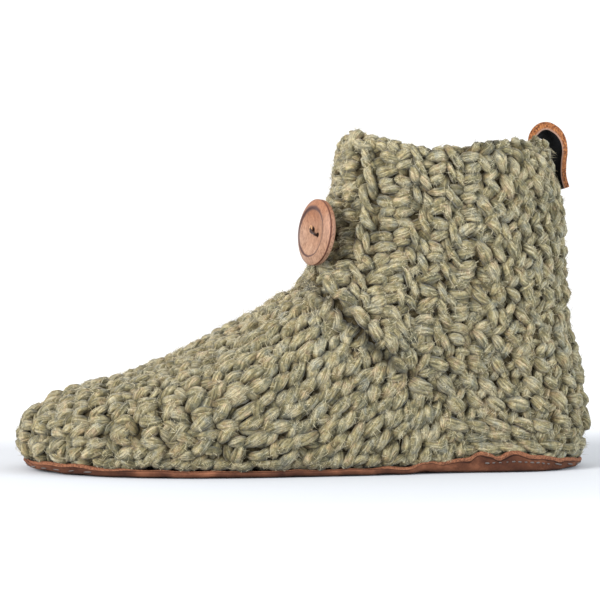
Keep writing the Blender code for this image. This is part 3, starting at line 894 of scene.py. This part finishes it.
# painted shade: a dark line where the edge is turned over the side, and darker towards the foot of
# the side
edge_here = add(tree, "Attribute", attribute_name="cut_edge").outputs["Fac"]
fold_shade = add(tree, "ValToRGB", {"Fac": edge_here},
           stops=((0.28, "#ffffff"), (0.44, "#6b5b52"), (0.56, "#ffffff"))).outputs["Color"]
floor_shade = add(tree, "MapRange",
            {"Value": add(tree, "SeparateXYZ", {"Vector": spot_here}).outputs["Z"],
             "From Min": 0.0003, "From Max": 0.0015, "To Min": 0.35}).outputs["Result"]
for layer in (fold_shade, floor_shade):
    hide = add(tree, "Mix", {0: 1, 6: hide, 7: layer}, data_type="RGBA",
               blend_type="MULTIPLY").outputs[2]
at_cut = add(tree, "MapRange", {"Value": edge_here, "From Min": 0.5,
                                "From Max": 0.62}).outputs["Result"]
hide = add(tree, "Mix", {0: at_cut, 6: hide, 7: cut}, data_type="RGBA").outputs[2]
paint(hide, nap, 0.5, 0.0005)
finish_piece(sole, suede, "sole")

# the seam: grey stitches pulled into the lip, which climb with it at the heel
SOLE_TREE = surface_tree(sole)
SEAM_PITCH = 2.9  # from one place for a stitch to the next
SEAM_HUB = 88  # how far the middles of the rounded ends lie from the middle of the foot
SEAM_X = (-132, -92, -66, 40, 62, 77, 92, 106, 114, 131)
SEAM_Z = (2.6, 2.2, 1.4, 1.4, 2, 4.6, 5.3, 4.6, 3.6, 2.4)


def seam_half(side, start):
    """Sights towards the sole from round one of its ends, and then from along a side."""
    spokes = [Vector((cos(a), sin(a), 0)) for a in np.radians(np.arange(start, start + 181, 2))]
    round_end = [(Vector((side * SEAM_HUB, 0, 0)) + spoke * 90, -spoke) for spoke in spokes]
    return round_end + [(Vector((side * x, side * 90, 0)), Vector((0, -side, 0)))
                        for x in range(86, -87, -2)]


seam_line = []
for far, inwards in seam_half(1, -90) + seam_half(-1, 90):
    far.z = float(np.interp((far + inwards * 45).x, SEAM_X, SEAM_Z))
    seam_line.append(SOLE_TREE.ray_cast(far, inwards, 90)[0])


def put_at(piece, place):
    """Moves a piece that was made at the origin to its place, and keeps that in its mesh."""
    activate(piece)
    piece.matrix_world = place
    bpy.ops.object.transform_apply(location=True, rotation=True, scale=True)


def join_pieces(pieces, name):
    """Joins pieces into the first of them."""
    activate(pieces[0])
    for piece in pieces:
        piece.select_set(True)
    bpy.ops.object.join()
    pieces[0].name = name
    return pieces[0]


bpy.ops.mesh.primitive_uv_sphere_add(segments=8, ring_count=6, radius=MM)
one_stitch = bpy.context.object
with editing():
    bpy.ops.transform.resize(value=(1.4, 0.38, 0.36))
bpy.ops.object.shade_smooth()
seam_stitches = []
for number, (spot, way) in enumerate(evenly(met(seam_line), SEAM_PITCH)):
    hit, normal = SOLE_TREE.find_nearest(spot)[:2]
    # short and close at the outer side of the heel, and long and wide apart everywhere else; on the
    # outer side the thread is pulled in under the fold between the heel and the toe
    at_heel = 77 < hit.x < 108 and hit.y < 0
    under_fold = -92 < hit.x <= 77 and hit.y < 0
    if under_fold or number % 3 and not at_heel:
        continue
    along = (way - normal * way.dot(normal)).normalized()
    turn = Matrix((along, normal.cross(along), normal)).transposed().to_4x4()
    turn = turn @ Matrix.Rotation(wander(0.12), 4, "Z") @ Matrix.Scale(1 + wander(0.15), 4)
    turn = turn @ Matrix.Diagonal((0.6 if at_heel else 1.8, 1, 1, 1))
    seam_stitches.append(new_object("stitch", one_stitch.data.copy()))
    put_at(seam_stitches[-1], Matrix.Translation((hit + normal * 0.1) * MM) @ turn)
bpy.data.objects.remove(one_stitch, do_unlink=True)
# plain grey thread
thread_grey = new_material("grey waxed linen thread", 0.6, colour="#453d39")[0]
finish_piece(join_pieces(seam_stitches, "sole_seam"), thread_grey, "sole")

# ---- insole ----
# Thick natural felt, cut to the inside of the shoe and laid on the leather. It is guessed, because
# the wool hides it, and it is flat, so it is the solid with its cut edge rounded over.
insole = merged_copy("insole", "felt_insole")
apply_modifier(insole, "SUBSURF", levels=2, render_levels=2)
bpy.ops.object.shade_smooth()
# undyed wool, matted and finely mottled
felt, tree = new_material("natural wool felt", 0.95, 0.1)
mats = add(tree, "TexNoise", {"Vector": add(tree, "TexCoord").outputs["Object"], "Scale": 420,
                              "Detail": 6, "Roughness": 0.7}).outputs["Fac"]
greys = add(tree, "ValToRGB", {"Fac": mats},
            stops=((0.35, "#8b8171"), (0.65, "#b3a993"))).outputs["Color"]
paint(greys, mats, 0.6, 0.0008)
finish_piece(insole, felt, "insole")

# ---- button ----
# Turned from pale, close-grained wood: a rim that slopes up to a burnt ring, and inside it a dish
# with two drilled holes. A second burnt line runs round the edge of its side. It faces forwards.
BUTTON_YAW, BUTTON_PITCH = radians(23.5), radians(5)
BUTTON_BACK = Vector((4.223, -24.826, 108.277))
BACK_RADIUS = 13.2
# radius and height of the turned profile, from the back round the side, over the rim into the dish
BUTTON_PROFILE = (
    (14.2, 0.12), (14.8, 0.55), (15, 1.1), (15, 2.5), (14.85, 2.72), (14.72, 2.85),
    (14.85, 2.98), (15, 3.12), (14.85, 3.3), (13.4, 4.15), (11.9, 4.93), (11.35, 5.15),
    (11.05, 5.16), (10.8, 4.95), (10.6, 4.72), (10.3, 4.6), (9.6, 4.3), (8.4, 3.7),
    (6.9, 3.1), (5.2, 2.65), (3.4, 2.45), (1.5, 2.4))
HOLE_OFFSET, HOLE_TURN, HOLE_RADIUS = 2.5, radians(-30), 1.15
button_face = Vector((-cos(BUTTON_YAW) * cos(BUTTON_PITCH),
                      -sin(BUTTON_YAW) * cos(BUTTON_PITCH), sin(BUTTON_PITCH)))
button_up = (UP - button_face * button_face.z).normalized()
button_place = (Matrix.Translation(BUTTON_BACK * MM) @ Matrix(
    (button_up.cross(button_face), button_up, button_face)).transposed().to_4x4())
hole_way = Vector((cos(HOLE_TURN), sin(HOLE_TURN), 0))
bpy.ops.mesh.primitive_circle_add(vertices=80, radius=BACK_RADIUS * MM, fill_type="NGON")
button = bpy.context.object
button.name = "wooden_button"
last_radius, last_height = BACK_RADIUS, 0
with editing():
    bpy.ops.mesh.select_mode(type="FACE")
    for radius, height in BUTTON_PROFILE:
        rise, scale = (height - last_height) * MM, radius / last_radius
        bpy.ops.mesh.extrude_region_move(TRANSFORM_OT_translate={"value": (0, 0, rise)})
        bpy.ops.transform.resize(value=(scale, scale, 1))
        last_radius, last_height = radius, height
    bpy.ops.mesh.select_all(action="SELECT")
    bpy.ops.mesh.normals_make_consistent(inside=False)
for sign in (1, -1):
    bpy.ops.mesh.primitive_cylinder_add(vertices=24, radius=HOLE_RADIUS * MM, depth=12 * MM,
                                        location=hole_way * (sign * HOLE_OFFSET * MM))
    drill = bpy.context.object
    bpy.context.view_layer.objects.active = button
    apply_modifier(button, "BOOLEAN", operation="DIFFERENCE", object=drill, solver="EXACT")
    bpy.data.objects.remove(drill, do_unlink=True)
put_at(button, button_place)
bpy.ops.object.shade_smooth_by_angle(angle=radians(40))

# pale wood with fine straight grain; the burnt ring is wider towards the top
wood, tree = new_material("turned beech wood", 0.55, 0.3)
local = add(tree, "Mapping", {"Vector": add(tree, "TexCoord").outputs["Object"],
                              "Location": tuple(BUTTON_BACK * MM),
                              "Rotation": tuple(button_place.to_euler())},
            vector_type="TEXTURE").outputs["Vector"]
grain = add(tree, "Mapping", {"Vector": local, "Scale": (3, 0.35, 1),
                              "Rotation": (0, 0, 0.5)}).outputs["Vector"]
figure = add(tree, "TexNoise", {"Vector": grain, "Scale": 330, "Detail": 5,
                                "Roughness": 0.6}).outputs["Fac"]
figure = add(tree, "ValToRGB", {"Fac": figure},
             stops=((0.32, "#725643"), (0.5, "#836551"), (0.7, "#90735d"))).outputs["Color"]
pores = add(tree, "TexNoise", {"Vector": grain, "Scale": 1500, "Detail": 2}).outputs["Fac"]
pores = add(tree, "ValToRGB", {"Fac": pores},
            stops=((0.36, "#b9a79c"), (0.5, "#ffffff"))).outputs["Color"]
parts = add(tree, "SeparateXYZ", {"Vector": local}).outputs
# the wood is redder towards the top of the button, in broad clouds
clouds = add(tree, "TexNoise", {"Vector": local, "Scale": 110, "Detail": 2}).outputs["Fac"]
clouds = add(tree, "Math", {0: clouds, 1: 0.03, 2: parts["Y"]},
             operation="MULTIPLY_ADD").outputs["Value"]
redness = add(tree, "MapRange", {"Value": clouds, "From Min": 0.008,
                                 "From Max": 0.028}).outputs["Result"]
redness = add(tree, "ValToRGB", {"Fac": redness},
              stops=((0, "#ffffff"), (1, "#f4d8c4"))).outputs["Color"]
flat = add(tree, "CombineXYZ", {"X": parts["X"], "Y": parts["Y"]}).outputs["Vector"]
radius_here = add(tree, "VectorMath", {0: flat}, operation="LENGTH").outputs["Value"]
wavering = add(tree, "TexNoise", {"Vector": local, "Scale": 260, "Detail": 2}).outputs["Fac"]
wavering = add(tree, "Math", {0: wavering, 1: 0.0005, 2: radius_here},
               operation="MULTIPLY_ADD").outputs["Value"]
# distance from the middle of the burnt ring, then how burnt the wood is there
off_ring = add(tree, "Math", {0: wavering, 1: 0.01125}, operation="SUBTRACT").outputs["Value"]
off_ring = add(tree, "Math", {0: off_ring}, operation="ABSOLUTE").outputs["Value"]
burn_width = add(tree, "MapRange", {"Value": parts["Y"], "From Min": 0.002, "From Max": 0.01,
                                    "To Min": 0.0007, "To Max": 0.0016}).outputs["Result"]
ring_burn = add(tree, "Math", {0: off_ring, 1: burn_width}, operation="DIVIDE").outputs["Value"]
ring_burn = add(tree, "MapRange", {"Value": ring_burn, "From Min": 1, "From Max": 0.25},
                interpolation_type="SMOOTHSTEP").outputs["Result"]
# a thinner line is burnt round the button's side
off_line = add(tree, "Math", {0: parts["Z"], 1: 0.00285}, operation="SUBTRACT").outputs["Value"]
off_line = add(tree, "Math", {0: off_line}, operation="ABSOLUTE").outputs["Value"]
line_burn = add(tree, "MapRange", {"Value": off_line, "From Min": 0.0006, "From Max": 0.0002},
                interpolation_type="SMOOTHSTEP").outputs["Result"]
on_side = add(tree, "Math", {0: radius_here, 1: 0.0125}, operation="GREATER_THAN").outputs["Value"]
line_burn = add(tree, "Math", {0: line_burn, 1: on_side}, operation="MULTIPLY").outputs["Value"]
for layer in (pores, redness):
    figure = add(tree, "Mix", {0: 1, 6: figure, 7: layer}, data_type="RGBA",
                 blend_type="MULTIPLY").outputs[2]
ringed = add(tree, "Mix", {0: ring_burn, 6: figure, 7: linear("#3e2823")},
             data_type="RGBA").outputs[2]
paint(add(tree, "Mix", {0: line_burn, 6: ringed, 7: linear("#4e2a1d")},
          data_type="RGBA").outputs[2])
finish_piece(button, wood, "button")

# ---- button thread ----
# Dark brown waxed thread of two plies. It comes up through one hole, crosses the dish, goes down
# the other, and is wound round itself between the button and the flap.


def curve_to_mesh(name, curve):
    """A piece whose mesh is made from a curve."""
    new_object(name, curve)
    bpy.ops.object.convert(target="MESH")
    return bpy.context.object


def tube_along(path, radius):
    """A round strand of a radius along a path, made a mesh."""
    curve = bpy.data.curves.new("strand", "CURVE")
    assign(curve, dimensions="3D", bevel_depth=radius * MM, bevel_resolution=2, use_fill_caps=True)
    line = curve.splines.new("POLY")
    line.points.add(len(path) - 1)
    for point, spot in zip(line.points, path):
        point.co = (*(spot * MM), 1)
    return curve_to_mesh("strand", curve)


aside = Vector((-hole_way.y, hole_way.x, 0))
strands = []
for ply in range(2):
    path = []
    for i in range(31):
        share = i / 30
        in_hole = min(share, 1 - share) < 0.3
        if in_hole:
            across = 1 if share < 0.5 else -1
            high = -3 + min(share, 1 - share) / 0.3 * 6.6
        else:
            arch = pi * ((share - 0.3) / 0.4)
            across, high = cos(arch), 3.6 + 0.95 * sin(arch) ** 0.6
        twist = 11 * share + pi * ply
        path.append(hole_way * (across * HOLE_OFFSET) + UP * high
                    + (aside * cos(twist)
                       + (hole_way if in_hole else UP) * sin(twist)) * 0.32)
    strands.append(tube_along(path, 0.38))
coil = [Vector((2.15 * cos(a), 2.15 * sin(a), -0.85 - 0.26 * a / pi))
        for a in np.linspace(0, 5.6 * pi, 68)]
strands.append(tube_along(coil, 0.46))
thread = join_pieces(strands, "sewing_thread")
put_at(thread, button_place)
# dark and smooth with wax
waxed = new_material("dark waxed thread", 0.5, 0.4, "#2a1913")[0]
finish_piece(thread, waxed, "button_thread")
# a small bight of undyed thread stands out of the upper hole
bight = tube_along([hole_way * -HOLE_OFFSET
                    + Vector((0.85 * cos(a), 1.35 * sin(a) + 0.3, 3.7))
                    for a in np.linspace(0, 2 * pi, 25)], 0.3)
bight.name = "thread_bight"
put_at(bight, button_place)
undyed = new_material("undyed linen thread", 0.6, colour="#9a7450")[0]
finish_piece(bight, undyed, "button_thread")

# ---- pull loop ----
# A strap of saddle leather, 15 mm wide, folded over the back of the collar. Its grain side is tan,
# its flesh side is dyed nearly black, and its cut edges are rough and orange.
# x and z of the middle of its thickness, and how far it is twisted there in degrees
LOOP_ROUTE = (
    (109.1, 129, 0), (106.9, 138, 3), (106, 146.5, 8), (106.3, 151.6, 12),
    (108.1, 155.4, 13), (111.4, 157.5, 13), (115.1, 156.3, 13), (118.1, 153, 13),
    (119.5, 148.4, 11), (119.4, 141.5, 7), (119.8, 135.5, 4), (121.6, 130.2, 1))
LOOP_WIDTH = 15
LOOP_THICK = 3.9  # at its thickest, at the bend
LOOP_THIN = 0.72  # of that, where it lies flat
loop_curve = bpy.data.curves.new("leather_pull_loop", "CURVE")
assign(loop_curve, dimensions="3D", twist_mode="Z_UP", resolution_u=6,
       extrude=LOOP_WIDTH / 2 * MM)
route = loop_curve.splines.new("BEZIER")
route.bezier_points.add(len(LOOP_ROUTE) - 1)
for point, (x, z, twist) in zip(route.bezier_points, LOOP_ROUTE):
    point.co = (x * MM, z * MM, 0)
    point.tilt = -radians(twist)
    point.handle_left_type = point.handle_right_type = "AUTO"
loop = curve_to_mesh("leather_pull_loop", loop_curve)
put_at(loop, Matrix.Rotation(radians(90), 4, "X"))


def leather(name, scale, stops, pale=None):
    """A side of the strap: leather mottled at a scale through a ramp of colours."""
    made, tree = new_material(name, 0.8, 0.1)
    mottle = add(tree, "TexNoise", {"Vector": add(tree, "TexCoord").outputs["Object"],
                                    "Scale": scale, "Detail": 3, "Roughness": 0.7}).outputs["Fac"]
    colour = add(tree, "ValToRGB", {"Fac": mottle}, stops=stops).outputs["Color"]
    if pale is not None:
        flesh = add(tree, "Attribute", attribute_name="flesh_side").outputs["Fac"]
        flesh = add(tree, "MapRange", {"Value": flesh, "From Min": 0.72,
                                       "From Max": 0.92}).outputs["Result"]
        colour = add(tree, "Mix", {0: flesh, 6: colour, 7: linear(pale)},
                     data_type="RGBA").outputs[2]
    paint(colour, mottle, 0.6, 0.0005)
    loop.data.materials.append(made)


# smooth on the grain side, dyed nearly black on the flesh side, and raw fibre where it is cut
leather("tan leather grain", 160, ((0.3, "#6d4630"), (0.7, "#8a5c40")))
leather("black dyed leather flesh", 700, ((0.3, "#060607"), (0.7, "#0e0f11")))
leather("cut leather edge", 1300, ((0.36, "#2a160b"), (0.46, "#5f3822"), (0.56, "#7a4c2c"),
                                     (0.68, "#97673e")), "#7d6355")
flesh_group = loop.vertex_groups.new(name="flesh")
flesh_group.add(range(len(loop.data.vertices)), 0, "REPLACE")
# the leather spreads where it is bent, most at the cut edge that shows
spread = loop.vertex_groups.new(name="spread")
for vertex in loop.data.vertices:
    bent = min(1, max(0, (vertex.co.z / MM - 150) / 7))
    shown = 1 if vertex.co.y < 0 else 0.2
    spread.add([vertex.index], LOOP_THIN + (1 - LOOP_THIN) * bent * shown, "REPLACE")
apply_modifier(loop, "SOLIDIFY", thickness=LOOP_THICK * MM, vertex_group="spread", offset=0,
               material_offset=1, material_offset_rim=2, shell_vertex_group="flesh")
apply_modifier(loop, "BEVEL", width=0.3 * MM, segments=2, limit_method="ANGLE", material=2)
bpy.ops.object.shade_smooth_by_angle(angle=radians(50))
flesh_number = loop.vertex_groups["flesh"].index
keep_as_attribute(loop, "flesh_side", [
    next((g.weight for g in v.groups if g.group == flesh_number), 0)
    for v in loop.data.vertices])
finish_piece(loop, None, "pull_loop")
